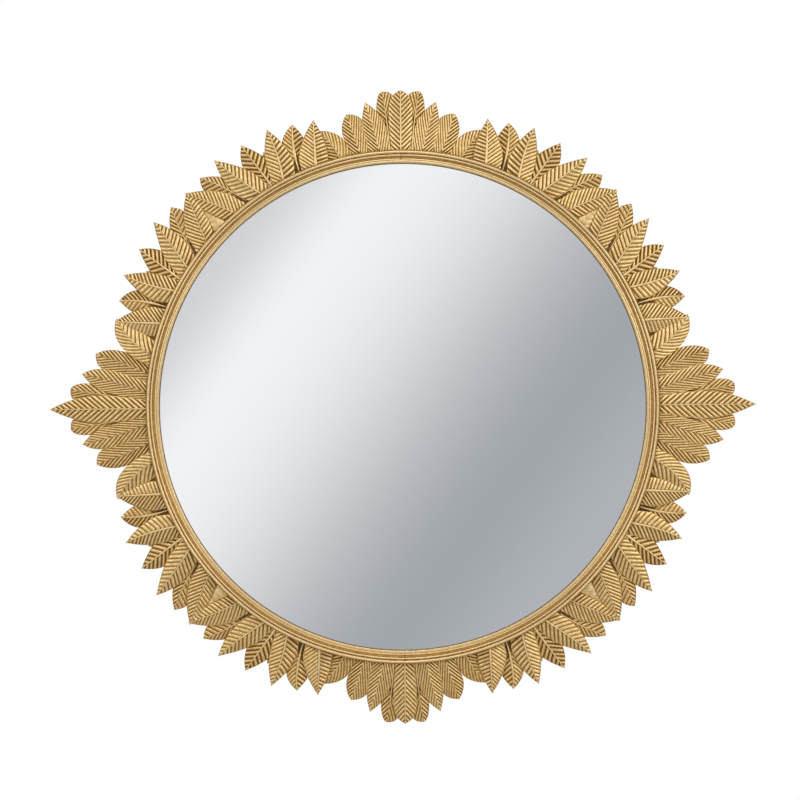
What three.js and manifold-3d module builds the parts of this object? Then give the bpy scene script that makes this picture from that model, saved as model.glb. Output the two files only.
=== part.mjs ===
// A round wall mirror in a cast resin frame: a moulded rim with a wreath of overlapping leaves.
// Millimetres. X is right, Z is up, the front faces -Y, and the flat back lies on the wall at y = 0.
// The origin is the middle of the back. Depths are counted from the wall towards the front.

import * as THREE from 'three';
import { mergeVertices } from 'three/addons/utils/BufferGeometryUtils.js';
import Module from 'manifold-3d';

// Glass, backing board and the fits between the pieces
const glassRadius = 305;
const glassThickness = 4;
const boardLedge = 7;
const boardThickness = 9;
const seatGap = 0.3;
const glassEdgeClearance = 1;
const boardEdgeClearance = 0.5;

// Rim: how far it laps over the glass, its wall round the board, the lip before the glass, how
// far its beads stand before the lip, and the flat ground under the leaves' roots
const glassOverlap = 6;
const rimWall = 3;
const lipThickness = 4.9;
const beadRise = 5.5;
const groundWidth = 15;
const groundDepth = 5;

// Leaves
const frontLeafDepth = 14;
const tipDepth = 8;
const layerStep = 2.5;
const tipLayerStep = 1.2;
const leafFall = 3.2;
const tipFall = 0.6;
const rootRun = 16;
const rootBite = 1.5;
const flipLift = 0.3;

// Keyhole hanger plates, let into the back of the board
const plateWidth = 20;
const plateHeight = 46;
const plateCorner = 4;
const plateThickness = 1.6;
const plateSink = 0.3;
const plateClearance = 0.3;
const plateInset = 70;
const plateAngle = 38.3;
const keyRadius = 5;
const slotWidth = 5;
const slotRise = 13;
const pocketMargin = 3;
const boardLeft = 1.2;

// Countersunk screws that hold the plates
const screwSpacing = 36;
const headRadius = 3.4;
const headHeight = 1.9;
const shankRadius = 1.5;
const screwPoint = 2;
const screwSink = 0.1;
const screwClearance = 0.3;

// Facets: round the rim and the discs, round the small parts, and along a front or a back leaf
const rimSteps = 64;
const smallSteps = 9;
const frontLeafRows = 5;
const backLeafRows = 3;
const backLayer = 2;

// Levels that follow from the values above
const boardRadius = glassRadius + boardLedge;
const glassPocketRadius = glassRadius + glassEdgeClearance;
const boardPocketRadius = boardRadius + boardEdgeClearance;
const sightRadius = glassRadius - glassOverlap;
const rimRadius = boardPocketRadius + rimWall;
const rimWidth = rimRadius - sightRadius;
const groundRadius = rimRadius + groundWidth;
const glassBack = boardThickness + seatGap;
const glassSeat = glassBack + glassThickness + seatGap;
const lipDepth = glassSeat + lipThickness;
const rimDepth = lipDepth + beadRise;
const screwLength = boardThickness - boardLeft - plateSink;

const screwHeights = [screwSpacing / 2, -screwSpacing / 2];
const hangerSides = [{ side: 'left', sign: -1 }, { side: 'right', sign: 1 }];

// Cutting bodies, and bodies that are cut flat, run this far past the face that they leave
const past = 1;

// One row is one leaf of the upper right quarter. Angles are in degrees from the top, seen from
// the front: where the midrib leaves the rim, and where it ends. reach is how far the tip stands
// beyond the rim and bend how far the midrib bows to the left of its chord. Each half, left and
// then right, has its width and the fullness of its tip. widest is the place where the tip starts
// to narrow, point 1 is a sharp tip and less a round one, and root is the share of its width that
// a leaf has at the rim.
// Layer 0 is the front.
const topLeaf = { from: 0, to: 0, reach: 74.9, bend: 0, widths: [14.5, 14.5], fullness: [5.2, 5.2],
  widest: 0.5, point: 1, root: 0.75, layer: 0 };
const sideLeaf = { from: 90, to: 90, reach: 119.5, bend: 0, widths: [17, 17], fullness: [1.8, 1.8],
  widest: 0.5, point: 1, root: 0.6, layer: 0 };

// A plain leaf on the diagonal, between and below the pair whose tips meet there
const webLeaf = { from: 45, to: 45, reach: 40, bend: 0, widths: [13, 13], fullness: [1.6, 1.6],
  widest: 0.2, point: 1, root: 0.9, layer: 2.3 };

const crownLeaves = [
  { from: 2.5, to: 3.4, reach: 73.6, bend: 0, widths: [15, 11.5], fullness: [4.5, 1.6],
    widest: 0.6, point: 0.5, root: 0.6, layer: 1.6 },
  { from: 4.95, to: 6.6, reach: 62.3, bend: 0, widths: [16, 13.3], fullness: [2.6, 2],
    widest: 0.4, point: 1, root: 0.95, layer: 0.5 },
  { from: 9.1, to: 10.45, reach: 51.2, bend: 0, widths: [17, 13], fullness: [3.5, 2],
    widest: 0.52, point: 0.8, root: 0.3, layer: 1 },
  { from: 13.8, to: 17, reach: 40.5, bend: 3.3, widths: [16, 14], fullness: [1.6, 1.8],
    widest: 0.35, point: 1, root: 1.35, layer: 2 },
];

const runLeaves = [
  { from: 19.4, to: 16.9, reach: 54.4, bend: 0, widths: [16, 20], fullness: [1.84, 1.84],
    widest: 0.15, point: 1, root: 0.9, layer: 0 },
  { from: 23.65, to: 20.95, reach: 57.9, bend: -1.9, widths: [16, 14.5], fullness: [2.6, 2.6],
    widest: 0.45, point: 1, root: 0.5, layer: 2 },
  { from: 27.35, to: 25.7, reach: 64.5, bend: 2.5, widths: [17, 16.5], fullness: [1.5, 2.2],
    widest: 0.3, point: 1, root: 0.85, layer: 0 },
  { from: 30.7, to: 31.3, reach: 63.2, bend: 0, widths: [16, 16.5], fullness: [1.6, 2.4],
    widest: 0.4, point: 1, root: 0.6, layer: 1.5 },
  { from: 33.7, to: 36.95, reach: 66.6, bend: 0, widths: [16.5, 16.5], fullness: [1.6, 2.1],
    widest: 0.3, point: 1, root: 0.85, layer: 0 },
  { from: 36.6, to: 41.15, reach: 61.5, bend: 2.5, widths: [13, 15], fullness: [1.8, 6],
    widest: 0.45, point: 1, root: 0.5, layer: 2 },
  { from: 40.5, to: 45.2, reach: 59.8, bend: 1, widths: [18.5, 13.2], fullness: [1.6, 2.3],
    widest: 0.3, point: 1, root: 0.9, layer: 0.6 },
  { from: 29.45, to: 28.25, reach: 46, bend: 0, widths: [8, 8], fullness: [2, 2],
    widest: 0.4, point: 1, root: 0.7, layer: 2.6 },
  { from: 32.2, to: 34, reach: 47.7, bend: 0, widths: [8, 8], fullness: [2, 2],
    widest: 0.4, point: 1, root: 0.7, layer: 2.6 },
];

const flankLeaves = [
  { from: 78, to: 72.5, reach: 53.5, bend: -5.2, widths: [17, 15], fullness: [1.5, 3.2],
    widest: 0.3, point: 1, root: 0.9, layer: -0.7 },
  { from: 82.25, to: 80.1, reach: 67.6, bend: 1.7, widths: [14, 15], fullness: [2.4, 5],
    widest: 0.55, point: 0.85, root: 0.85, layer: 1 },
  { from: 86.25, to: 83.7, reach: 81.7, bend: 0, widths: [13.5, 14.5], fullness: [3.1, 3.1],
    widest: 0.45, point: 1, root: 0.9, layer: 0.5 },
  { from: 88.4, to: 86.6, reach: 94.7, bend: 0, widths: [11.5, 14.5], fullness: [2.5, 6],
    widest: 0.65, point: 0.5, root: 0.7, layer: 1.6 },
];

const wasm = await Module();
wasm.setup();

function toSolid(geometry) {
  const bare = geometry.clone();
  bare.deleteAttribute('normal');
  bare.deleteAttribute('uv');
  const merged = mergeVertices(bare, 1e-4);
  return new wasm.Manifold(new wasm.Mesh({
    numProp: 3,
    vertProperties: Float32Array.from(merged.attributes.position.array),
    triVerts: Uint32Array.from(merged.index.array),
  }));
}

function toGeometry(solid) {
  const mesh = solid.getMesh();
  const geometry = new THREE.BufferGeometry();
  geometry.setAttribute('position', new THREE.BufferAttribute(mesh.vertProperties, mesh.numProp));
  geometry.setIndex(new THREE.BufferAttribute(mesh.triVerts, 1));
  return geometry;
}

// A ring or disc about the mirror's axis, from [radius, depth] corners listed so that the
// material lies to the right of the path.
function turned(section, steps) {
  const points = section.map(([radius, depth]) => new THREE.Vector2(radius, -depth));
  return new THREE.LatheGeometry(points, steps);
}

function disc(radius, backDepth, frontDepth, steps) {
  return turned([[0, frontDepth], [radius, frontDepth], [radius, backDepth], [0, backDepth]], steps);
}

// The mirror image of a leaf in the diagonal of its quarter, which lies a little further forward
function flipped(leaf) {
  return {
    ...leaf,
    from: 90 - leaf.from,
    to: 90 - leaf.to,
    bend: -leaf.bend,
    widths: [...leaf.widths].reverse(),
    fullness: [...leaf.fullness].reverse(),
    layer: leaf.layer - flipLift,
  };
}

function onRadius(degrees, radius) {
  const angle = THREE.MathUtils.degToRad(degrees);
  return new THREE.Vector2(radius * Math.sin(angle), radius * Math.cos(angle));
}

// The share of its full width that one half of a leaf has at the place t along the midrib
function widthShare(leaf, t, fullness) {
  if (t < leaf.widest) {
    const rise = 1 - (1 - Math.max(t, 0) / leaf.widest) ** 2;
    return leaf.root + (1 - leaf.root) * rise;
  }
  const x = (t - leaf.widest) / (1 - leaf.widest);
  return (1 - x ** fullness) ** leaf.point;
}

// The closed body of one leaf: a flat back, a ridge along the midrib, and halves that fall away
// to the edges. It starts inside the rim.
function leafBody(leaf, stations) {
  const root = onRadius(leaf.from, rimRadius);
  const tip = onRadius(leaf.to, rimRadius + leaf.reach);
  const chord = tip.clone().sub(root);
  const side = new THREE.Vector2(-chord.y, chord.x).normalize();
  const rows = stations.map((t) => {
    const middle = root.clone().addScaledVector(chord, t);
    middle.addScaledVector(side, t > 0 ? 4 * leaf.bend * t * (1 - t) : 0);
    const slope = t > 0 ? 4 * leaf.bend * (1 - 2 * t) : 4 * leaf.bend;
    const along = chord.clone().addScaledVector(side, slope).normalize();
    const across = new THREE.Vector2(-along.y, along.x);
    const run = THREE.MathUtils.clamp(t, 0, 1);
    const ridge = THREE.MathUtils.lerp(
      frontLeafDepth - layerStep * leaf.layer, tipDepth - tipLayerStep * leaf.layer, run);
    const edge = ridge - THREE.MathUtils.lerp(leafFall, tipFall, run ** 2);
    const left = middle.clone().addScaledVector(
      across, leaf.widths[0] * widthShare(leaf, t, leaf.fullness[0]));
    const right = middle.clone().addScaledVector(
      across, -leaf.widths[1] * widthShare(leaf, t, leaf.fullness[1]));
    return { middle, left, right, ridge, edge };
  });
  const end = rows.pop();

  const corners = [];
  for (const { middle, left, right, ridge, edge } of rows) {
    corners.push(left.x, past, left.y, right.x, past, right.y);
    corners.push(left.x, -edge, left.y, middle.x, -ridge, middle.y, right.x, -edge, right.y);
  }
  corners.push(end.middle.x, past, end.middle.y, end.middle.x, -end.ridge, end.middle.y);

  // Corner numbers in a row: back left, back right, front left, ridge, front right
  const faces = [];
  const quad = (a, b, c, d) => faces.push(a, b, c, a, c, d);
  const rowSize = 5;
  for (let i = 0; i + 1 < rows.length; i += 1) {
    const [bl, br, fl, fm, fr] = [0, 1, 2, 3, 4].map((k) => i * rowSize + k);
    const [bl2, br2, fl2, fm2, fr2] = [0, 1, 2, 3, 4].map((k) => (i + 1) * rowSize + k);
    quad(fl, fm, fm2, fl2);
    quad(fm, fr, fr2, fm2);
    quad(bl, fl, fl2, bl2);
    quad(fr, br, br2, fr2);
    quad(br, bl, bl2, br2);
  }
  const [bl, br, fl, fm, fr] = [0, 1, 2, 3, 4].map((k) => (rows.length - 1) * rowSize + k);
  const backTip = rows.length * rowSize;
  const frontTip = backTip + 1;
  faces.push(fl, fm, frontTip, fm, fr, frontTip, br, bl, backTip);
  quad(bl, fl, frontTip, backTip);
  quad(fr, br, backTip, frontTip);
  faces.push(0, 1, 2, 1, 3, 2, 1, 4, 3);

  const geometry = new THREE.BufferGeometry();
  geometry.setAttribute('position', new THREE.Float32BufferAttribute(corners, 3));
  geometry.setIndex(faces);
  return geometry;
}

// The places along the midrib where a leaf is worked out, closer together towards the tip
function stationsOf(leaf) {
  const rows = leaf.layer < backLayer ? frontLeafRows : backLeafRows;
  const places = [-rootRun / leaf.reach];
  for (let i = 1; i <= rows; i += 1) places.push(1 - (1 - i / rows) ** 1.5);
  return places;
}

function leafSolid(leaf) {
  return toSolid(leafBody(leaf, stationsOf(leaf)));
}

function joined(solids) {
  return solids.reduce((sum, solid) => sum.add(solid));
}

function wreath() {
  const top = leafSolid(topLeaf);
  const side = leafSolid(sideLeaf);
  const leaves = [top, top.scale([1, 1, -1]), side, side.scale([-1, 1, 1])];
  const half = [...crownLeaves, ...runLeaves];
  for (const leaf of [...half, webLeaf, ...runLeaves.map(flipped), ...flankLeaves]) {
    const solid = leafSolid(leaf);
    leaves.push(solid, solid.scale([-1, 1, 1]), solid.scale([1, 1, -1]), solid.scale([-1, 1, -1]));
  }
  return joined(leaves);
}

// The rim's front from the leaves inwards: outer bead, second bead, cove and inner band, as
// [share of the rim's width in from its outer wall, share of the beads' rise below the highest]
const rimFront = [
  [0, 0.9], [0.036, 0.29], [0.127, 0], [0.218, 0.255],
  [0.26, 0.62], [0.364, 0.33], [0.448, 0.67],
  [0.533, 1], [0.648, 0.78], [0.842, 0.72],
];

function rimBody() {
  const start = [boardPocketRadius, -past];
  return turned([
    start,
    [boardPocketRadius, glassBack],
    [glassPocketRadius, glassBack],
    [glassPocketRadius, glassSeat],
    [sightRadius, glassSeat],
    [sightRadius, lipDepth],
    ...rimFront.map(([inset, drop]) => [rimRadius - inset * rimWidth, rimDepth - drop * beadRise])
      .toReversed(),
    [rimRadius, groundDepth],
    [groundRadius, groundDepth],
    [groundRadius, -past],
    start,
  ], rimSteps);
}

// The rim and the leaves are one casting, and its back is flat
function frameSolid() {
  const core = toSolid(disc(rimRadius - rootBite, -2 * past, rimDepth + past, rimSteps));
  const casting = wreath().subtract(core).add(toSolid(rimBody()));
  const reach = 2 * (rimRadius + sideLeaf.reach + past);
  const behind = new THREE.BoxGeometry(reach, 2 * past, reach).translate(0, past, 0);
  return casting.subtract(toSolid(behind));
}

// A countersunk screw, its head just below the face that it holds. grown widens it all round
// to cut its hole, and then it runs out past the face.
function screwBody(grown = 0) {
  const top = grown > 0 ? -past : screwSink;
  return turned([
    [0, screwLength + grown],
    [shankRadius + grown, screwLength + grown - screwPoint],
    [shankRadius + grown, screwSink + headHeight],
    [headRadius + grown, screwSink],
    ...(grown > 0 ? [[headRadius + grown, top]] : []),
    [0, top],
  ], smallSteps);
}

const platePlace = onRadius(plateAngle, boardRadius - plateInset);

function roundedOutline(width, height, radius) {
  const x = width / 2 - radius;
  const z = height / 2 - radius;
  const outline = new THREE.Shape();
  outline.absarc(x, z, radius, 0, Math.PI / 2);
  outline.absarc(-x, z, radius, Math.PI / 2, Math.PI);
  outline.absarc(-x, -z, radius, Math.PI, Math.PI * 1.5);
  outline.absarc(x, -z, radius, Math.PI * 1.5, Math.PI * 2);
  return outline;
}

// A round hole below for the wall screw's head, and a slot above that its shank rises into
function keyhole(outline) {
  const half = slotWidth / 2;
  const turn = Math.asin(half / keyRadius);
  outline.absarc(0, -slotRise / 2, keyRadius, Math.PI / 2 + turn, Math.PI * 2.5 - turn);
  outline.absarc(0, slotRise / 2, half, 0, Math.PI);
  outline.closePath();
  return outline;
}

// A slab of an outline drawn in X and Z, between two depths
function slab(outline, backDepth, frontDepth) {
  const options = { depth: frontDepth - backDepth, bevelEnabled: false, curveSegments: 3 };
  const geometry = new THREE.ExtrudeGeometry(outline, options);
  return geometry.rotateX(Math.PI / 2).translate(0, -backDepth, 0);
}

function hangerPlate() {
  const outline = roundedOutline(plateWidth, plateHeight, plateCorner);
  outline.holes.push(keyhole(new THREE.Path()));
  const plate = toSolid(slab(outline, 0, plateThickness));
  return screwHeights.reduce(
    (left, z) => left.subtract(toSolid(screwBody(screwClearance).translate(0, 0, z))), plate);
}

// What is cut from the board for one hanger: the plate's seat, the hollow behind its keyhole,
// and the holes of its screws
function hangerCut() {
  const grown = 2 * plateClearance;
  const seatOutline = roundedOutline(
    plateWidth + grown, plateHeight + grown, plateCorner + plateClearance);
  const seat = slab(seatOutline, -past, plateThickness + seatGap);
  const pocketWidth = 2 * (keyRadius + pocketMargin);
  const pocketOutline = roundedOutline(pocketWidth, pocketWidth + slotRise - pocketMargin, pocketMargin);
  const pocket = slab(pocketOutline, -past, screwLength);
  const holes = screwHeights.map((z) => screwBody(screwClearance).translate(0, 0, z));
  return joined([seat, pocket, ...holes].map(toSolid));
}

function boardSolid() {
  const board = toSolid(disc(boardRadius, 0, boardThickness, rimSteps));
  const cut = hangerCut();
  return hangerSides.reduce(
    (left, { sign }) => left.subtract(cut.translate([sign * platePlace.x, -plateSink, platePlace.y])),
    board);
}

const resin = new THREE.MeshStandardMaterial({ color: 0xb6955e, roughness: 0.42, metalness: 0.85 });
const silver = new THREE.MeshStandardMaterial({ color: 0xe4e6ea, roughness: 0.03, metalness: 1 });
const fibreboard = new THREE.MeshStandardMaterial({ color: 0x8c6d4c, roughness: 0.85, metalness: 0 });
const zinc = new THREE.MeshStandardMaterial({ color: 0xb4b6b8, roughness: 0.35, metalness: 1 });

function piece(name, geometry, material) {
  const mesh = new THREE.Mesh(geometry, material);
  mesh.name = name;
  return mesh;
}

const group = new THREE.Group();
group.add(piece('leaf_frame', toGeometry(frameSolid()), resin));
const glass = disc(glassRadius, glassBack, glassBack + glassThickness, rimSteps);
group.add(piece('mirror_glass', glass, silver));
group.add(piece('backing_board', toGeometry(boardSolid()), fibreboard));

for (const { side, sign } of hangerSides) {
  const hanger = new THREE.Group();
  hanger.position.set(sign * platePlace.x, -plateSink, platePlace.y);
  hanger.add(piece(`keyhole_plate_${side}`, toGeometry(hangerPlate()), zinc));
  screwHeights.forEach((z, index) => {
    const screw = piece(`plate_screw_${side}_${index + 1}`, screwBody(), zinc);
    screw.position.z = z;
    hanger.add(screw);
  });
  group.add(hanger);
}

export default group;
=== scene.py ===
import itertools
import math
import random
import bpy
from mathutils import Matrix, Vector


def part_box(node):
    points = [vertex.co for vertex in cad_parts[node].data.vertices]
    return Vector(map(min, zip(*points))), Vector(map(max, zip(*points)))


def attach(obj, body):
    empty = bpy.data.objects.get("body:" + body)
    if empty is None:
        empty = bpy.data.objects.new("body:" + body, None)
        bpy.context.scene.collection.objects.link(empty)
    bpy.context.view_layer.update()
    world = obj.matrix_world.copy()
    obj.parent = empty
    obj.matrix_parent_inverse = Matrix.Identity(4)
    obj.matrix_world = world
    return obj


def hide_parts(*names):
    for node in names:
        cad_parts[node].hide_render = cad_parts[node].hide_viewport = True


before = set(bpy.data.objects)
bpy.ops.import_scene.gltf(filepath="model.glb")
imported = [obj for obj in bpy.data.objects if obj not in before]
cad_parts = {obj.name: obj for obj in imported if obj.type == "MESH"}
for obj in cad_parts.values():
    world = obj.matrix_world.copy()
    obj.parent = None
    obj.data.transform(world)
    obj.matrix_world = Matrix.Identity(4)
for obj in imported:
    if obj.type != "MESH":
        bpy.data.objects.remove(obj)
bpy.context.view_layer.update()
print("frame loaded")

# A round wall mirror in a gilded leaf frame. X is right, Z is up and the front faces -Y.
# Drawn sizes are in millimetres, and depth is counted from the wall towards the front.
mm = 0.001


def mix(a, b, share):
    return a + (b - a) * share


def clamp(value):
    return max(0, min(1, value))


def smoothStep(low, high, value):
    share = clamp((value - low) / (high - low))
    return share * share * (3 - 2 * share)


# An sRGB hex colour as the linear colour that a shader takes
def hexColour(code):
    channels = [int(code[i:i + 2], 16) / 255 for i in (1, 3, 5)]
    linear = [c / 12.92 if c <= 0.04045 else ((c + 0.055) / 1.055) ** 2.4 for c in channels]
    return (*linear, 1)


# Sets a node's inputs; each is a value, an output, or a node whose first output feeds it
def setInputs(tree, node, inputs):
    for key, value in inputs.items():
        if isinstance(value, bpy.types.Node):
            value = value.outputs[0]
        if isinstance(value, bpy.types.NodeSocket):
            tree.links.new(value, node.inputs[key])
        else:
            node.inputs[key].default_value = value


def addNode(tree, kind, inputs=None, **settings):
    node = tree.nodes.new(kind)
    for name, value in settings.items():
        setattr(node, name, value)
    setInputs(tree, node, inputs or {})
    return node


def newMaterial(name):
    material = bpy.data.materials.new(name)
    material.use_nodes = True
    tree = material.node_tree
    place = addNode(tree, "ShaderNodeTexCoord").outputs["Object"]
    return material, tree, tree.nodes["Principled BSDF"], place


def selectOnly(*objects):
    bpy.ops.object.select_all(action="DESELECT")
    for item in objects:
        item.select_set(True)
    bpy.context.view_layer.objects.active = objects[0]


def applyModifier(piece, kind, **settings):
    selectOnly(piece)
    modifier = piece.modifiers.new(kind.title(), kind)
    for name, value in settings.items():
        setattr(modifier, name, value)
    bpy.ops.object.modifier_apply(modifier=modifier.name)


# The object's place goes into its mesh, so that it sits at the origin like a CAD node
def settle(piece, name, material, slot, *nodes):
    selectOnly(piece)
    bpy.ops.object.transform_apply(location=True, rotation=True, scale=True)
    piece.name = name
    piece.data.name = name
    piece.data.materials.clear()
    piece.data.materials.append(material)
    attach(piece, "root")
    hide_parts(*nodes)


# Materials

giltFinish = {
    "gold": "#C8A360",        # gilding seen square on
    "paleGold": "#EDD6A7",    # where it stands proud: rubbed bright, and a painted highlight
    "warmGold": "#B98F49",    # where it is thin and the warm ground shows through
    "glazeAndShade": "#79582D",       # umber glaze left in the hollows, and the colour of the painted shade
    "patch": 45 * mm,         # size of the patches of warmer and paler gilding
    "mottle": 5 * mm,         # size of the breaks in the glaze
    "grain": 0.9 * mm,        # grain of the cast and gilded skin, drawn coarser than it is
    "relief": 0.12 * mm,
    "break": 0.12,            # how far the breaks shift the glaze
    "metal": (0.92, 0.35),    # on the gold, and in the glaze
    "rough": (0.32, 0.58),    # on the gold, and in the glaze
    "sheen": 0.05,            # how far the roughness wanders with the breaks
}


# Antique gilt resin: a casting that is gilded, then wiped with umber glaze. A satin metal, bright
# on what stands proud, where a painted highlight joins the rubbed gilding, and a dull brown in what lies
# back, where painted shade joins the glaze.
def antiqueGiltResin():
    form = giltFinish
    material, tree, shader, place = newMaterial("antique_gilt_resin")
    # the glaze attribute holds the umber glaze together with painted shade in recesses and gaps
    hollow = addNode(tree, "ShaderNodeAttribute", attribute_name="glazeAndShade").outputs["Fac"]
    patch = addNode(tree, "ShaderNodeTexNoise", {"Vector": place, "Scale": 1 / form["patch"], "Detail": 3})
    mottle = addNode(tree, "ShaderNodeTexNoise", {
        "Vector": place, "Scale": 1 / form["mottle"], "Detail": 4, "Roughness": 0.6})
    grain = addNode(tree, "ShaderNodeTexNoise", {"Vector": place, "Scale": 1 / form["grain"], "Detail": 2})
    broken = addNode(tree, "ShaderNodeMapRange", {
        "Value": mottle, "From Min": 0.3, "From Max": 0.7, "To Min": -form["break"], "To Max": form["break"]})
    laid = addNode(tree, "ShaderNodeMath", {0: hollow, 1: broken}, operation="ADD")
    # share of the glaze colour: real glaze, and painted shade where the attribute darkens recesses
    glazeAndShadeShare = addNode(tree, "ShaderNodeMapRange", {"Value": laid, "From Min": 0.1, "From Max": 0.95},
                         interpolation_type="SMOOTHSTEP")
    # paler gold where the glaze value runs low: rubbed gilding and a painted highlight on ridges and crests
    rubbedAndHighlightShare = addNode(tree, "ShaderNodeMapRange", {
        "Value": laid, "From Min": -0.12, "From Max": 0.22, "To Min": 0.75, "To Max": 0})
    warmShare = addNode(tree, "ShaderNodeMapRange", {
        "Value": patch, "From Min": 0.35, "From Max": 0.65, "To Min": 0, "To Max": 0.6})

    gilding = addNode(tree, "ShaderNodeMix", {
        0: warmShare, 6: hexColour(form["gold"]), 7: hexColour(form["warmGold"])}, data_type="RGBA")
    rubbed = addNode(tree, "ShaderNodeMix", {
        0: rubbedAndHighlightShare, 6: gilding.outputs[2], 7: hexColour(form["paleGold"])}, data_type="RGBA")
    colour = addNode(tree, "ShaderNodeMix", {
        0: glazeAndShadeShare, 6: rubbed.outputs[2], 7: hexColour(form["glazeAndShade"])}, data_type="RGBA")
    metal = addNode(tree, "ShaderNodeMapRange", {
        "Value": glazeAndShadeShare, "To Min": form["metal"][0], "To Max": form["metal"][1]})
    rough = addNode(tree, "ShaderNodeMapRange", {
        "Value": glazeAndShadeShare, "To Min": form["rough"][0], "To Max": form["rough"][1]})
    sheen = addNode(tree, "ShaderNodeMapRange", {
        "Value": mottle, "From Min": 0.3, "From Max": 0.7, "To Min": -form["sheen"], "To Max": form["sheen"]})
    bump = addNode(tree, "ShaderNodeBump", {"Height": grain, "Strength": 0.35, "Distance": form["relief"]})
    setInputs(tree, shader, {
        "Base Color": colour.outputs[2], "Metallic": metal, "Normal": bump,
        "Roughness": addNode(tree, "ShaderNodeMath", {0: rough, 1: sheen}, operation="ADD")})
    return material


mirrorFinish = {"silver": "#F1F2F3", "haze": 120 * mm, "rough": (0.012, 0.03)}


# Silvered float glass: a polished mirror, faintly cool from the glass over the silver
def silveredFloatGlass():
    form = mirrorFinish
    material, tree, shader, place = newMaterial("silvered_float_glass")
    haze = addNode(tree, "ShaderNodeTexNoise", {"Vector": place, "Scale": 1 / form["haze"], "Detail": 3})
    polish = addNode(tree, "ShaderNodeMapRange", {
        "Value": haze, "From Min": 0.3, "From Max": 0.7,
        "To Min": form["rough"][0], "To Max": form["rough"][1]})
    setInputs(tree, shader, {"Base Color": hexColour(form["silver"]), "Metallic": 1, "Roughness": polish})
    return material


boardFinish = {"face": "#A88660", "dark": "#86653F", "fibre": 1.6 * mm, "fibreStretch": (0.35, 1, 1),
               "cloud": 35 * mm, "relief": 0.1 * mm, "rough": (0.7, 0.88)}


# Medium density fibreboard, pressed and bare: matt light brown with short darker fibres
def bareFibreboard():
    form = boardFinish
    material, tree, shader, place = newMaterial("bare_fibreboard")
    stretched = addNode(tree, "ShaderNodeMapping", {"Vector": place, "Scale": form["fibreStretch"]})
    fibre = addNode(tree, "ShaderNodeTexNoise", {
        "Vector": stretched, "Scale": 1 / form["fibre"], "Detail": 5, "Roughness": 0.7})
    cloud = addNode(tree, "ShaderNodeTexNoise", {"Vector": place, "Scale": 1 / form["cloud"], "Detail": 3})
    fibreShare = addNode(tree, "ShaderNodeMapRange", {
        "Value": fibre, "From Min": 0.42, "From Max": 0.66, "To Min": 0, "To Max": 0.8})
    cloudShare = addNode(tree, "ShaderNodeMapRange", {
        "Value": cloud, "From Min": 0.3, "From Max": 0.7, "To Min": 0, "To Max": 0.35})
    face = addNode(tree, "ShaderNodeMix", {
        0: cloudShare, 6: hexColour(form["face"]), 7: hexColour(form["dark"])}, data_type="RGBA")
    colour = addNode(tree, "ShaderNodeMix", {
        0: fibreShare, 6: face.outputs[2], 7: hexColour(form["dark"])}, data_type="RGBA")
    rough = addNode(tree, "ShaderNodeMapRange", {
        "Value": fibre, "From Min": 0.3, "From Max": 0.7,
        "To Min": form["rough"][0], "To Max": form["rough"][1]})
    bump = addNode(tree, "ShaderNodeBump", {"Height": fibre, "Strength": 0.3, "Distance": form["relief"]})
    setInputs(tree, shader, {"Base Color": colour.outputs[2], "Roughness": rough, "Normal": bump})
    return material


zincFinish = {"zinc": "#BFC2C6", "dull": "#9A9DA2", "cloud": 4 * mm, "drag": 0.5 * mm,
              "dragStretch": (1, 1, 0.06), "relief": 0.03 * mm, "rough": (0.24, 0.42)}


# Bright zinc plated steel: a cool satin metal with faint clouding and the drag marks of the press
def zincPlatedSteel():
    form = zincFinish
    material, tree, shader, place = newMaterial("zinc_plated_steel")
    cloud = addNode(tree, "ShaderNodeTexNoise", {"Vector": place, "Scale": 1 / form["cloud"], "Detail": 3})
    stretched = addNode(tree, "ShaderNodeMapping", {"Vector": place, "Scale": form["dragStretch"]})
    drag = addNode(tree, "ShaderNodeTexNoise", {"Vector": stretched, "Scale": 1 / form["drag"], "Detail": 2})
    cloudShare = addNode(tree, "ShaderNodeMapRange", {
        "Value": cloud, "From Min": 0.35, "From Max": 0.65, "To Min": 0, "To Max": 0.7})
    colour = addNode(tree, "ShaderNodeMix", {
        0: cloudShare, 6: hexColour(form["zinc"]), 7: hexColour(form["dull"])}, data_type="RGBA")
    rough = addNode(tree, "ShaderNodeMapRange", {
        "Value": drag, "From Min": 0.3, "From Max": 0.7,
        "To Min": form["rough"][0], "To Max": form["rough"][1]})
    bump = addNode(tree, "ShaderNodeBump", {"Height": drag, "Strength": 0.2, "Distance": form["relief"]})
    setInputs(tree, shader, {
        "Base Color": colour.outputs[2], "Metallic": 1, "Roughness": rough, "Normal": bump})
    return material


gilt = antiqueGiltResin()
mirrorSilver = silveredFloatGlass()
fibreboard = bareFibreboard()
zinc = zincPlatedSteel()
print("materials made")


# Rim: a ring whose section is drawn as (radius, depth) and spun about the mirror's axis. It fits
# round the glass and the board, so its pockets are worked out from theirs.

# A CAD node's lowest and highest corners in millimetres
def cornersOf(node):
    return [[round(c / mm, 2) for c in corner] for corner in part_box(node)]


glassLow, glassHigh = cornersOf("mirror_glass")
boardRadius = cornersOf("backing_board")[1][0]

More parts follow.
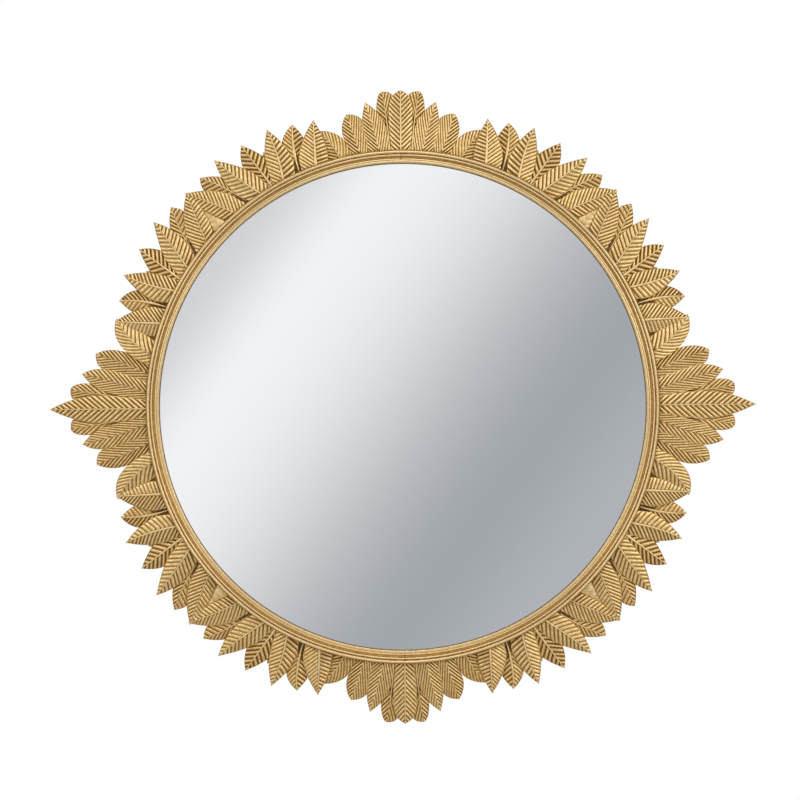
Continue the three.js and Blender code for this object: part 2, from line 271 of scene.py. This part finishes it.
rimForm = {
    "glassPocket": glassHigh[0] + 1, "glassBack": -glassHigh[1], "glassSeat": -glassLow[1] + 0.3,
    "sight": glassHigh[0] - 6,    # how far in the rim laps over the glass
    "boardPocket": boardRadius + 0.5, "outside": boardRadius + 3.5, "ground": boardRadius + 18.5,
    "groundDepth": 5,
    "innerBand": [(299, 18.5), (299.1, 19.1), (299.5, 19.6), (300.2, 19.9), (300.9, 20.05),
                  (301.7, 20.05), (302.4, 19.85), (302.75, 19.45), (303.1, 19.8), (303.6, 19.95),
                  (304.2, 19.9), (304.7, 19.6), (305.1, 19.15)],
    "cove": [(305.6, 18.75), (306.3, 18.6), (306.8, 18.75), (307.15, 19.2), (307.35, 19.8)],
    "secondBead": {"centre": 308.8, "half": 1.4, "base": 20.4, "rise": 1.7, "points": 9},
    "line": [(310.3, 20.35), (310.45, 20.6)],
    "outerBead": {"centre": 312.65, "half": 2.1, "base": 21.0, "rise": 3.0, "points": 13},
    "outsideTop": 19.2, "outsideMiddle": 12,
    "frontFrom": 14.6,    # points that stand further forward than this are on the front
    "steps": 288, "smoothAngle": 50, "mergeDistance": 0.001,
    # the joins at the top and the bottom, where the two cast halves of the rim meet
    "join": {"half": 0.7, "near": 0.01, "from": 303, "to": 311.3, "sunk": 0.5, "glazeAndShade": 0.8},
    # where the glaze and painted shade lie, darkest on the lip wall by the glass and on the outer wall and
    # ground seen between the leaves: from radius, to radius, shallower than this depth, how much
    "glazeAndShade": [(298, 299.15, 30, 0.9), (302.7, 302.8, 30, 0.5), (305.5, 307.2, 19.3, 0.42),
              (310.25, 310.35, 20.4, 0.3), (314.8, 331, 20.4, 0.55)],
    # the crests that are rubbed bright and given a painted highlight, from radius to radius
    "crests": [(300.8, 302), (303.5, 304.3), (308.2, 309.4), (312, 313.3)],
    "bodyGlaze": 0.06, "crestHighlight": -0.2,
}


def beadPoints(bead):
    turns = [math.pi * (1 - i / (bead["points"] - 1)) for i in range(bead["points"])]
    return [(bead["centre"] + bead["half"] * math.cos(a), bead["base"] + bead["rise"] * math.sin(a))
            for a in turns]


def rimSection():
    form = rimForm
    return [
        (form["boardPocket"], 0), (form["boardPocket"], form["glassBack"]),
        (form["glassPocket"], form["glassBack"]), (form["glassPocket"], form["glassSeat"]),
        (form["sight"], form["glassSeat"]),
        *form["innerBand"], *form["cove"], *beadPoints(form["secondBead"]),
        *form["line"], *beadPoints(form["outerBead"]),
        (form["outside"], form["outsideTop"]), (form["outside"], form["outsideMiddle"]),
        (form["outside"], form["groundDepth"]),
        (form["ground"], form["groundDepth"]), (form["ground"], 0),
    ]


# The glaze and painted shade at a point of the rim's section, with a painted highlight on the crests
def rimGlazeAndShade(radius, depth):
    form = rimForm
    found = [amount for low, high, under, amount in form["glazeAndShade"]
             if low <= radius <= high and depth < under]
    if depth > form["frontFrom"] and any(low <= radius <= high for low, high in form["crests"]):
        found.append(form["crestHighlight"])
    return max(found, default=form["bodyGlaze"])


def setGlazeAndShade(piece, values):
    attribute = piece.data.attributes.get("glazeAndShade") or piece.data.attributes.new("glazeAndShade", "FLOAT", "POINT")
    attribute.data.foreach_set("value", values)


# Each join is a fine groove: the ring's points at x = 0 sink between the cuts on either side
def sinkJoins(rim):
    join = rimForm["join"]
    for vertex, glazeAndShade in zip(rim.data.vertices, rim.data.attributes["glazeAndShade"].data):
        x, y, z = vertex.co / mm
        if abs(x) < join["near"] and -y > rimForm["frontFrom"] and join["from"] < abs(z) < join["to"]:
            vertex.co.y += join["sunk"] * mm
            glazeAndShade.value = join["glazeAndShade"]


def makeRim():
    section = rimSection()
    bpy.ops.object.select_all(action="DESELECT")
    bpy.ops.mesh.primitive_circle_add(vertices=len(section), fill_type="NOTHING")
    rim = bpy.context.object
    for vertex, (radius, depth) in zip(rim.data.vertices, section):
        vertex.co = (radius * mm, -depth * mm, 0)
    bpy.ops.object.mode_set(mode="EDIT")
    bpy.ops.mesh.select_all(action="SELECT")
    bpy.ops.mesh.spin(steps=rimForm["steps"], angle=2 * math.pi, center=(0, 0, 0), axis=(0, 1, 0),
                      use_auto_merge=True)
    bpy.ops.mesh.select_all(action="SELECT")
    bpy.ops.mesh.remove_doubles(threshold=rimForm["mergeDistance"] * mm)
    for x in (-rimForm["join"]["half"], rimForm["join"]["half"]):
        bpy.ops.mesh.select_all(action="SELECT")
        bpy.ops.mesh.bisect(plane_co=(x * mm, 0, 0), plane_no=(1, 0, 0))
    bpy.ops.mesh.select_all(action="SELECT")
    bpy.ops.mesh.normals_make_consistent(inside=False)
    bpy.ops.object.mode_set(mode="OBJECT")
    setGlazeAndShade(rim, [rimGlazeAndShade(math.hypot(v.co.x, v.co.z) / mm, -v.co.y / mm) for v in rim.data.vertices])
    sinkJoins(rim)
    bpy.ops.object.shade_smooth_by_angle(angle=math.radians(rimForm["smoothAngle"]))
    settle(rim, "gilt_rim", gilt, "gilt_resin", "leaf_frame")


makeRim()
print("rim made")


# Leaves. Angles are degrees from the top: where the midrib leaves the rim, and where it ends.
# reach is how far the tip stands beyond the rim, and bow how far the midrib bends to its left.
# Each half, left then right, has its width, the fullness of its tip, the gap between its veins,
# their slant from the midrib and how deep they are cut. widest is where the tip starts to narrow,
# point 1 is a sharp tip and less a round one, and root is the share of its width at the rim. rib is
# the midrib's width at the root, in the middle and at the tip, for a leaf that has a raised one.
# hollow is how far up each half lies back, sunk and darkened with painted shade, and tone shifts the glaze.
# Layer 0 is the front.

leafForm = {
    # depths of the midrib at the root and at the tip, and the step back with each layer
    "frontDepth": 14, "tipDepth": 8, "layerStep": 2.5, "tipLayerStep": 1.2, "flipLift": 0.3,
    # how far a half falls to its margin at the root and at the tip, and where the margin turns down
    "fall": 2.3, "tipFall": 0.6, "fallCurve": 1.4, "marginFrom": 0.88, "marginDrop": 0.6,
    # a leaf runs on inside its root up to the rim's outer wall, and its halves lap under the midrib
    "rootRun": 16, "clipRadius": 314.3, "overlap": 0.4,
    "tipHalf": 0.6, "tipDrop": 0.6, "leastWidth": 0.3, "frontLayers": 1, "smoothAngle": 60,
    # the veins: where the points of a row lie across a half, and one vein's place, height and glaze, the
    # groove's glaze partly painted shade
    "columns": (0, 0.12, 0.32, 0.56, 0.8, 0.94, 1),
    "veinLine": ((0, -1.0, 1.0), (0.12, -0.62, 0.55), (0.27, -0.12, 0.06), (0.5, 0.2, 0.0),
                 (0.73, -0.12, 0.06), (0.88, -0.62, 0.55)),
    "wander": 0.1, "wanderSlant": 1.0,    # how unevenly the veins are cut, in vein gaps and degrees
    "fan": 4,                             # how far the slant opens from the root to the tip, in degrees
    "veinStop": 1.2, "shortestVein": 0.5, "probe": 0.4, "halvings": 12,
    "fullCutWidth": 4, "marginCut": 0.55, "hollowCut": 0.6,    # where the cut gets shallower
    "hollowDepth": 2.2, "hollowEdge": 0.14,
    # the midrib: its stations along, and its place, height and glaze across, dark at its foot as a painted
    # shade line and paler on top as a painted highlight
    "ribFrom": -1.2, "ribTo": 0.985, "ribMiddle": 0.4, "ribStations": 16, "ribSpacing": 0.9,
    "ribShare": 0.7, "ribLeast": 0.15, "ribTipHeight": 0.6,
    "ribLine": ((-1.2, -1.3, 1.0), (-0.95, -0.3, 0.85), (-0.6, 0.7, 0.12), (0, 1.0, -0.12),
                (0.6, 0.7, 0.12), (0.95, -0.3, 0.85), (1.2, -1.3, 1.0)),
    # painted shade in the glaze colour beside the rim, on the margins, in the hollows and on the layers
    # behind
    "besideRim": (0.3, 2.5), "rootShade": 0.35, "ribRootShade": 0.3, "marginShade": 0.1,
    "marginShadeFrom": 0.9, "hollowShade": 0.7, "layerShade": 0.04, "tipGlaze": 0.3, "deepestGlaze": 1.1,
    # the flat backs
    "backRun": 30, "backStep": 0.01, "backNear": 0.01, "backGlaze": 0.55,
}

topLeaf = {"start": 0, "end": 0, "reach": 74.9, "bow": 0, "widths": (14.8, 14.8), "fullness": (5.2, 5.2),
           "widest": 0.5, "point": 1, "root": 0.75, "layer": 0, "gaps": (4.0, 4.0), "slants": (44, 44),
           "carve": (1.0, 1.0), "rib": (3.0, 3.0, 1.8)}
sideLeaf = {"start": 90, "end": 90, "reach": 119.5, "bow": 0, "widths": (17, 17), "fullness": (1.8, 1.8),
            "widest": 0.5, "point": 1, "root": 0.6, "layer": 0, "gaps": (4.6, 4.6), "slants": (40, 40),
            "carve": (1.3, 1.3), "rib": (2.6, 2.6, 1.4)}
webLeaf = {"start": 45, "end": 45, "reach": 40, "bow": 0, "widths": (13, 13), "fullness": (1.6, 1.6),
           "widest": 0.2, "point": 1, "root": 0.9, "layer": 2.3, "gaps": (6, 6), "slants": (50, 50),
           "carve": (0.16, 0.16), "tone": -0.14}

crownLeaves = [
    {"start": 2.5, "end": 3.4, "reach": 73.6, "bow": 1.4, "widths": (15, 11.5), "fullness": (4.5, 1.6),
     "widest": 0.6, "point": 0.5, "root": 0.6, "layer": 1.6, "gaps": (3.6, 3.8), "slants": (24, 38),
     "carve": (0.9, 1.1), "rib": (2.4, 2.0, 1.0), "hollow": (0.64, 0.56)},
    {"start": 4.8, "end": 6.6, "reach": 62.3, "bow": 0.6, "widths": (16, 13.3), "fullness": (2.0, 2),
     "widest": 0.4, "point": 1, "root": 0.95, "layer": 0.5, "gaps": (3.3, 3.5), "slants": (24, 36),
     "carve": (0.78, 0.95), "fan": -3},
    {"start": 9.1, "end": 10.45, "reach": 51.2, "bow": 0, "widths": (17, 13), "fullness": (3.5, 2),
     "widest": 0.52, "point": 0.8, "root": 0.6, "layer": 1, "gaps": (3.2, 3.45), "slants": (22, 34),
     "carve": (0.8, 1.1), "fan": -2},
    {"start": 13.8, "end": 17, "reach": 40.5, "bow": 3.3, "widths": (16, 14), "fullness": (1.6, 1.8),
     "widest": 0.35, "point": 1, "root": 1.35, "layer": 2, "gaps": (3.3, 3.8), "slants": (30, 44),
     "carve": (0.78, 0.9), "rib": (2.6, 2.0, 1.0)},
]

runLeaves = [
    {"start": 19.4, "end": 16.9, "reach": 54.4, "bow": 0, "widths": (16, 20), "fullness": (1.84, 1.84),
     "widest": 0.15, "point": 1, "root": 0.9, "layer": 0, "gaps": (4.35, 3.5), "slants": (68, 47),
     "carve": (1.15, 0.8), "rib": (5.0, 3.6, 1.6), "fan": 12},
    {"start": 23.3, "end": 20.95, "reach": 57.9, "bow": -2.9, "widths": (16, 14.5),
     "fullness": (2.6, 2.6), "widest": 0.45, "point": 1, "root": 0.5, "layer": 2, "gaps": (4.8, 3.8),
     "slants": (56, 46), "carve": (1.5, 0.8), "rib": (1.6, 4.4, 1.6), "hollow": (0.42, 0.3)},
    {"start": 27.35, "end": 25.7, "reach": 64.5, "bow": 2.5, "widths": (17, 16.5),
     "fullness": (1.5, 2.2), "widest": 0.3, "point": 1, "root": 0.85, "layer": 0, "gaps": (5.05, 4.2),
     "slants": (59, 50), "carve": (1.3, 0.85), "rib": (4.2, 3.3, 1.5)},
    {"start": 30.25, "end": 31.3, "reach": 63.2, "bow": 0, "widths": (16, 16.5), "fullness": (1.6, 2.4),
     "widest": 0.4, "point": 1, "root": 0.6, "layer": 1.5, "gaps": (5.4, 4.9), "slants": (52, 50),
     "carve": (1.9, 1.6), "rib": (4.6, 2.9, 1.4)},
    {"start": 33.25, "end": 36.95, "reach": 66.6, "bow": -1.2, "widths": (16.5, 16.5),
     "fullness": (1.6, 2.1), "widest": 0.3, "point": 1, "root": 0.85, "layer": 0, "gaps": (4.75, 4.75),
     "slants": (50, 51), "carve": (1.15, 0.85), "rib": (3.6, 2.4, 1.4)},
    {"start": 36.6, "end": 41.15, "reach": 61.5, "bow": 2.5, "widths": (13, 15), "fullness": (1.8, 6),
     "widest": 0.45, "point": 1, "root": 0.5, "layer": 2, "gaps": (4.0, 5.05), "slants": (40, 50),
     "carve": (1.0, 1.1), "rib": (1.4, 2.3, 1.2), "hollow": (0.25, 0.36)},
    {"start": 40.5, "end": 45.2, "reach": 59.8, "bow": 1, "widths": (18.5, 13.2), "fullness": (1.6, 2.3),
     "widest": 0.3, "point": 1, "root": 0.9, "layer": 0.6, "gaps": (3.8, 4.4), "slants": (45, 57),
     "carve": (0.9, 0.95), "rib": (2.4, 2.0, 1.0)},
    {"start": 29.45, "end": 28.25, "reach": 42.5, "bow": 0, "widths": (8, 8), "fullness": (2, 2),
     "widest": 0.4, "point": 1, "root": 0.7, "layer": 2.6, "gaps": (4, 4), "slants": (42, 42),
     "carve": (1.2, 1.2), "rib": (2.4, 2.0, 1.0)},
    {"start": 32.2, "end": 34, "reach": 43.6, "bow": 0, "widths": (8, 8), "fullness": (2, 2),
     "widest": 0.4, "point": 1, "root": 0.7, "layer": 2.6, "gaps": (4, 4), "slants": (42, 42),
     "carve": (1.2, 1.2), "rib": (2.4, 2.0, 1.0)},
]

flankLeaves = [
    {"start": 77.8, "end": 72.5, "reach": 53.5, "bow": -5.2, "widths": (17, 15), "fullness": (1.5, 3.2),
     "widest": 0.3, "point": 1, "root": 0.9, "layer": -0.7, "gaps": (4.9, 3.7), "slants": (40, 40),
     "carve": (1.0, 0.75), "rib": (1.4, 2.2, 1.0)},
    {"start": 82.25, "end": 79.8, "reach": 68.4, "bow": 1.2, "widths": (14, 15.5), "fullness": (2, 6.5),
     "widest": 0.5, "point": 0.85, "root": 0.85, "layer": 1, "gaps": (3.85, 3.4), "slants": (30, 24),
     "carve": (1.2, 0.85), "rib": (1.6, 1.5, 0.8), "fan": -4},
    {"start": 86.5, "end": 83.7, "reach": 81.7, "bow": 1.5, "widths": (13.5, 14.5),
     "fullness": (3.1, 3.1), "widest": 0.45, "point": 1, "root": 0.9, "layer": 0.5, "gaps": (4.0, 3.2),
     "slants": (33, 24), "carve": (1.0, 0.8), "rib": (1.6, 1.4, 0.8), "fan": -3},
    {"start": 88.4, "end": 86.6, "reach": 94.7, "bow": 0, "widths": (11.5, 14.5), "fullness": (2.5, 6),
     "widest": 0.65, "point": 0.5, "root": 0.7, "layer": 1.6, "gaps": (4.1, 3.4), "slants": (32, 22),
     "carve": (1.0, 0.8), "rib": (2.6, 2.2, 1.0), "hollow": (0.58, 0.7)},
]


# A leaf's mirror image in the diagonal of its quarter, which lies a little further forward. The
# half towards the top keeps the deeper cut.
def flipped(leaf):
    return {**leaf, "start": 90 - leaf["start"], "end": 90 - leaf["end"], "bow": -leaf["bow"],
            "widths": leaf["widths"][::-1], "fullness": leaf["fullness"][::-1],
            "gaps": leaf["gaps"][::-1], "slants": leaf["slants"][::-1],
            "hollow": leaf.get("hollow", (0, 0))[::-1], "layer": leaf["layer"] - leafForm["flipLift"]}


def onRadius(degrees, radius):
    return Vector((radius * math.sin(math.radians(degrees)), radius * math.cos(math.radians(degrees))))


# The straight line from a leaf's root to its tip, in X and Z
def leafChord(leaf):
    root = onRadius(leaf["start"], rimForm["outside"])
    return root, onRadius(leaf["end"], rimForm["outside"] + leaf["reach"]) - root


# The point of the midrib at the share t of its length, and the way across to its left
def midribAt(leaf, t):
    root, chord = leaf["chord"]
    side = Vector((-chord.y, chord.x)).normalized()
    run = max(t, 0)
    point = root + chord * t + side * (4 * leaf["bow"] * run * (1 - run))
    along = (chord + side * (4 * leaf["bow"] * (1 - 2 * run))).normalized()
    return point, Vector((-along.y, along.x))


def halfWidth(leaf, half, t):
    if t < leaf["widest"]:
        rise = 1 - (1 - max(t, 0) / leaf["widest"]) ** 2
        return leaf["widths"][half] * (leaf["root"] + (1 - leaf["root"]) * rise)
    x = min((t - leaf["widest"]) / (1 - leaf["widest"]), 1)
    narrowing = (1 - x ** leaf["fullness"][half]) ** leaf["point"]
    return max(leaf["widths"][half] * narrowing, leafForm["tipHalf"])


def ridgeDepth(leaf, t):
    form = leafForm
    return mix(form["frontDepth"] - form["layerStep"] * leaf["layer"],
               form["tipDepth"] - form["tipLayerStep"] * leaf["layer"], clamp(t))


# How deep one half lies at t and the distance d from the midrib, without its veins
def bladeDepth(leaf, half, t, d):
    form = leafForm
    share = clamp(d / max(halfWidth(leaf, half, t), form["leastWidth"]))
    fall = mix(form["fall"], form["tipFall"], clamp(t) ** 2) * share ** form["fallCurve"]
    return ridgeDepth(leaf, t) - fall - form["marginDrop"] * smoothStep(form["marginFrom"], 1, share)


# From 1 beside the rim to 0 just beyond it
def besideRim(place):
    return 1 - smoothStep(*leafForm["besideRim"], place.length - rimForm["outside"])


# The stretch of one vein line, in distances from the midrib, that lies on the leaf and outside
# the rim. The line leaves the midrib at the length start, and lean is its run along per run across.
def veinStretch(leaf, half, start, lean):
    length = leaf["chord"][1].length
    sign = 1 - 2 * half
    form = leafForm

    def onLeaf(d):
        t = (start + max(d, 0) * lean) / length
        if not -form["rootRun"] / length < t < 1 or d > halfWidth(leaf, half, t):
            return False
        point, across = midribAt(leaf, t)
        return (point + across * sign * d).length > form["clipRadius"]

    def edge(inside, outside):
        for _ in range(form["halvings"]):
            middle = (inside + outside) / 2
            inside, outside = (middle, outside) if onLeaf(middle) else (inside, middle)
        return inside

    step = form["probe"]
    places = [i * step for i in range(int(leaf["widths"][half] / step) + 2)]
    found = [i for i, d in enumerate(places) if onLeaf(d)]
    if not found:
        return None
    first, last = found[0], found[-1]
    low = edge(places[first], places[first - 1]) if first > 0 else -form["overlap"]
    return low, edge(places[last], places[last] + step)


# One half of a leaf as rows of (x, depth, z, glaze) that run along its veins
def halfRows(leaf, half):
    form = leafForm
    length = leaf["chord"][1].length
    sign = 1 - 2 * half
    carve = leaf["carve"][half]
    hollowEnd = leaf.get("hollow", (0, 0))[half]
    pitch = leaf["gaps"][half] / math.sin(math.radians(leaf["slants"][half]))
    reachBack = leaf["widths"][half] / math.tan(math.radians(leaf["slants"][half])) + form["rootRun"]
    hand = random.Random(round(leaf["start"] * 100) + half)
    first, last = -int(reachBack / pitch) - 1, int(length / pitch) + 1
    drifts = [hand.uniform(-1, 1) for _ in range(first, last + 1)]
    rows = []
    for k in range(first, last):
        for phase, height, shade in form["veinLine"]:
            drift = mix(drifts[k - first], drifts[k - first + 1], phase)
            start = (k + phase + form["wander"] * drift) * pitch
            if start > length - form["veinStop"]:
                continue
            slant = leaf["slants"][half] + leaf.get("fan", form["fan"]) * (0.5 - clamp(start / length))
            slant += form["wanderSlant"] * drift
            lean = 1 / math.tan(math.radians(slant))
            stretch = veinStretch(leaf, half, start, lean)
            if stretch is None or stretch[1] - stretch[0] < form["shortestVein"]:
                continue
            row = []
            for column in form["columns"]:
                d = mix(*stretch, column)
                t = (start + max(d, 0) * lean) / length
                point, across = midribAt(leaf, t)
                place = point + across * sign * d
                width = halfWidth(leaf, half, t)
                share = clamp(d / width)
                hollow = 1 - smoothStep(hollowEnd - form["hollowEdge"], hollowEnd, t) if hollowEnd else 0
                cut = carve * min(1, width / form["fullCutWidth"]) * (1 - form["hollowCut"] * hollow)
                cut *= 1 - form["marginCut"] * smoothStep(form["marginFrom"], 1, share)
                depth = bladeDepth(leaf, half, t, d) + cut * height - form["hollowDepth"] * hollow
                # glaze in the vein grooves, partly painted shade, and painted shade in the hollows, on the
                # margins, beside the rim and on the layers behind
                glazeAndShade = shade * min(cut, form["deepestGlaze"]) + form["hollowShade"] * hollow
                glazeAndShade += form["marginShade"] * smoothStep(form["marginShadeFrom"], 1, share)
                glazeAndShade += form["rootShade"] * besideRim(place)
                glazeAndShade += form["layerShade"] * max(leaf["layer"], 0) + leaf.get("tone", 0)
                row.append((place.x, depth, place.y, min(glazeAndShade, 1)))
            rows.append(row)
    tip = sum(leaf["chord"], Vector((0, 0)))
    across = midribAt(leaf, 1)[1] * sign
    ends = [tip + across * mix(-form["overlap"], form["tipHalf"], column) for column in form["columns"]]
    rows.append([(end.x, ridgeDepth(leaf, 1) - form["tipDrop"], end.y, form["tipGlaze"]) for end in ends])
    return rows


# The raised midrib as rows across it, from the rim to just short of the tip
def ribRows(leaf):
    form = leafForm
    length = leaf["chord"][1].length
    root, middle, end = leaf["rib"]
    rows = []
    for i in range(form["ribStations"] + 1):
        t = mix(form["ribFrom"] / length, form["ribTo"], (i / form["ribStations"]) ** form["ribSpacing"])
        point, across = midribAt(leaf, t)
        if t < form["ribMiddle"]:
            half = mix(root, middle, clamp(t / form["ribMiddle"])) / 2
        else:
            half = mix(middle, end, (t - form["ribMiddle"]) / (1 - form["ribMiddle"])) / 2
        narrower = min(halfWidth(leaf, 0, t), halfWidth(leaf, 1, t))
        half = min(half, form["ribShare"] * narrower + form["ribLeast"])
        row = []
        for column, height, shade in form["ribLine"]:
            place = point + across * half * column
            rise = height * mix(1, form["ribTipHeight"], clamp(t))
            # the rib's glaze, with a painted shade line at its foot and a painted highlight on top, and
            # painted shade beside the rim
            glazeAndShade = shade + form["ribRootShade"] * besideRim(place)
            row.append((place.x, ridgeDepth(leaf, t) + rise, place.y, min(glazeAndShade, 1)))
        rows.append(row)
    return rows


# A grid whose points are set on the rows, extruded back to a flat back. The veins are too fine and
# too many for the edit operators, so the drawn rows give the form. No two flat backs share a plane.
def addBody(rows, back):
    form = leafForm
    bpy.ops.mesh.primitive_grid_add(x_subdivisions=len(rows[0]) - 1, y_subdivisions=len(rows) - 1, size=1)
    body = bpy.context.object
    points = [point for row in rows for point in row]
    for vertex, (x, depth, z, _) in zip(body.data.vertices, points):
        vertex.co = (x * mm, -depth * mm, z * mm)
    setGlazeAndShade(body, [glazeAndShade for *_, glazeAndShade in points])
    bpy.ops.object.mode_set(mode="EDIT")
    bpy.ops.mesh.select_all(action="SELECT")
    bpy.ops.mesh.extrude_region_move(TRANSFORM_OT_translate={"value": (0, form["backRun"] * mm, 0)})
    bpy.ops.transform.resize(value=(1, 0, 1), center_override=(0, -back * mm, 0))
    bpy.ops.mesh.dissolve_faces()
    bpy.ops.mesh.select_all(action="SELECT")
    bpy.ops.mesh.normals_make_consistent(inside=False)
    bpy.ops.object.mode_set(mode="OBJECT")
    for vertex, glazeAndShade in zip(body.data.vertices, body.data.attributes["glazeAndShade"].data):
        if vertex.co.y > -(back + form["backNear"]) * mm:
            glazeAndShade.value = form["backGlaze"]
    return body


# Leaves as closed bodies, mirrored as asked
def makeLeaves(leaves, mirrored):
    bpy.ops.object.select_all(action="DESELECT")
    bodies = []
    for leaf in leaves:
        leaf = {**leaf, "chord": leafChord(leaf)}
        sheets = [halfRows(leaf, 0), halfRows(leaf, 1)]
        if "rib" in leaf:
            sheets.append(ribRows(leaf))
        bodies += [addBody(rows, next(backs) * leafForm["backStep"]) for rows in sheets]
    selectOnly(*bodies)
    bpy.ops.object.join()
    body = bpy.context.object
    if any(mirrored):
        applyModifier(body, "MIRROR", use_axis=mirrored, use_mirror_merge=False)
    return body


def joinLeaves(bodies, name):
    selectOnly(*bodies)
    bpy.ops.object.join()
    wreath = bpy.context.object
    bpy.ops.object.shade_smooth_by_angle(angle=math.radians(leafForm["smoothAngle"]))
    settle(wreath, name, gilt, "gilt_resin", "leaf_frame")


quarter = crownLeaves + runLeaves + [webLeaf] + [flipped(leaf) for leaf in runLeaves] + flankLeaves
frontLeaves = [leaf for leaf in quarter if leaf["layer"] <= leafForm["frontLayers"]]
backLeaves = [leaf for leaf in quarter if leaf["layer"] > leafForm["frontLayers"]]
backs = itertools.count(1)    # numbers the flat backs, from the one nearest the wall
joinLeaves([makeLeaves([topLeaf], (False, False, True)), makeLeaves([sideLeaf], (True, False, False)),
            makeLeaves(frontLeaves, (True, False, True))], "front_leaves")
joinLeaves([makeLeaves(backLeaves, (True, False, True))], "back_leaves")
print("leaves made")


# The glass, board and hangers keep their CAD solids

nodeFinish = {"mirror_glass": mirrorSilver, "backing_board": fibreboard,
              "keyhole_plate": zinc, "plate_screw": zinc}

for name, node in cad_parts.items():
    for start, finish in nodeFinish.items():
        if name.startswith(start):
            node.data.materials.clear()
            node.data.materials.append(finish)
print("back fitted")


# Studio: pale floor, white surroundings and five soft lights, the strongest from above

studio = {
    "floorHeight": -1.1, "floorHalf": 3.0, "floor": "#E9E7E3", "floorRough": 0.7,
    "surround": 0.62,
    "lights": {"above": {"place": (0, -2.2, 2.3), "size": 2.0, "power": 20},
               "left": {"place": (-2.0, -2.2, 0.9), "size": 1.8, "power": 13},
               "right": {"place": (2.0, -2.2, 0.9), "size": 1.8, "power": 19},
               "lower_right": {"place": (1.5, -2.3, -1.5), "size": 1.8, "power": 17},
               "lower_left": {"place": (-1.5, -2.3, -1.5), "size": 1.8, "power": 8}},
    "cardDistance": 4.2, "cardHalf": 1.6,
    # the card's light along its slope, in metres from the middle towards the lower right
    "cardSlope": (0.8, -0.6, 0),
    "card": [(-0.70, (0.72, 0.72, 0.74)), (-0.43, (1.0, 1.0, 1.01)), (0.40, (0.41, 0.43, 0.45)),
             (0.70, (0.485, 0.505, 0.53))],
    # the view's width is that at the leaves' faces
    "distance": 3.0, "viewWidth": 0.984, "leafFace": 0.012, "sensor": 36,
    "aim": (-0.0034, 0.0084), "roll": 0.45,
}


def addFloor():
    bpy.ops.object.select_all(action="DESELECT")
    bpy.ops.mesh.primitive_plane_add(size=2 * studio["floorHalf"], location=(0, 0, studio["floorHeight"]))
    floor = bpy.context.object
    floor.name = "studio_floor"
    material, tree, shader, _ = newMaterial("pale_painted_floor")
    setInputs(tree, shader, {"Base Color": hexColour(studio["floor"]), "Roughness": studio["floorRough"]})
    floor.data.materials.append(material)


# White behind the object for the camera, and a softer grey all round for the metal to show
def addSurround():
    world = bpy.data.worlds.new("studio")
    bpy.context.scene.world = world
    world.use_nodes = True
    tree = world.node_tree
    tree.nodes.clear()
    seen = addNode(tree, "ShaderNodeBackground", {"Color": (1, 1, 1, 1), "Strength": 1})
    grey = addNode(tree, "ShaderNodeBackground", {"Color": (1, 1, 1, 1), "Strength": studio["surround"]})
    path = addNode(tree, "ShaderNodeLightPath")
    either = addNode(tree, "ShaderNodeMixShader", {
        0: path.outputs["Is Camera Ray"], 1: grey.outputs[0], 2: seen.outputs[0]})
    addNode(tree, "ShaderNodeOutputWorld", {0: either.outputs[0]})


def addLight(name, place, size, power):
    bpy.ops.object.light_add(type="AREA", location=place)
    light = bpy.context.object
    light.name = name
    light.data.shape = "DISK"
    light.data.size = size
    light.data.energy = power
    light.rotation_euler = (-Vector(place)).to_track_quat("-Z", "Y").to_euler()


# A card behind the camera, bright above on the left and grey below on the right, which the
# glass shows
def addCard():
    bpy.ops.object.select_all(action="DESELECT")
    bpy.ops.mesh.primitive_plane_add(size=2 * studio["cardHalf"], location=(0, -studio["cardDistance"], 0),
                                     rotation=(math.radians(90), 0, 0))
    card = bpy.context.object
    card.name = "studio_card"
    material = bpy.data.materials.new("graded_card")
    material.use_nodes = True
    tree = material.node_tree
    tree.nodes.clear()
    place = addNode(tree, "ShaderNodeTexCoord").outputs["Object"]
    slope = addNode(tree, "ShaderNodeVectorMath", {0: place, 1: studio["cardSlope"]}, operation="DOT_PRODUCT")
    first, last = studio["card"][0][0], studio["card"][-1][0]
    along = addNode(tree, "ShaderNodeMapRange", {
        "Value": slope.outputs["Value"], "From Min": first, "From Max": last})
    ramp = addNode(tree, "ShaderNodeValToRGB", {"Fac": along})
    ramp.color_ramp.interpolation = "EASE"
    stops = ramp.color_ramp.elements
    while len(stops) < len(studio["card"]):
        stops.new(0.5)
    for stop, (at, light) in zip(stops, studio["card"]):
        stop.position = (at - first) / (last - first)
        stop.color = (*light, 1)
    glow = addNode(tree, "ShaderNodeEmission", {"Color": ramp.outputs["Color"]})
    addNode(tree, "ShaderNodeOutputMaterial", {0: glow.outputs[0]})
    card.data.materials.append(material)
    card.visible_camera = False
    card.visible_diffuse = False


def addCamera():
    x, z = studio["aim"]
    bpy.ops.object.camera_add(location=(x, -studio["distance"], z),
                              rotation=(math.radians(90), math.radians(studio["roll"]), 0))
    camera = bpy.context.object
    camera.name = "studio_camera"
    camera.data.sensor_width = studio["sensor"]
    camera.data.lens = studio["sensor"] * (studio["distance"] - studio["leafFace"]) / studio["viewWidth"]
    bpy.context.scene.camera = camera


addFloor()
addSurround()
for name, light in studio["lights"].items():
    addLight(name + "_light", **light)
addCard()
addCamera()
bpy.context.scene.view_settings.view_transform = "Standard"
print("studio set")
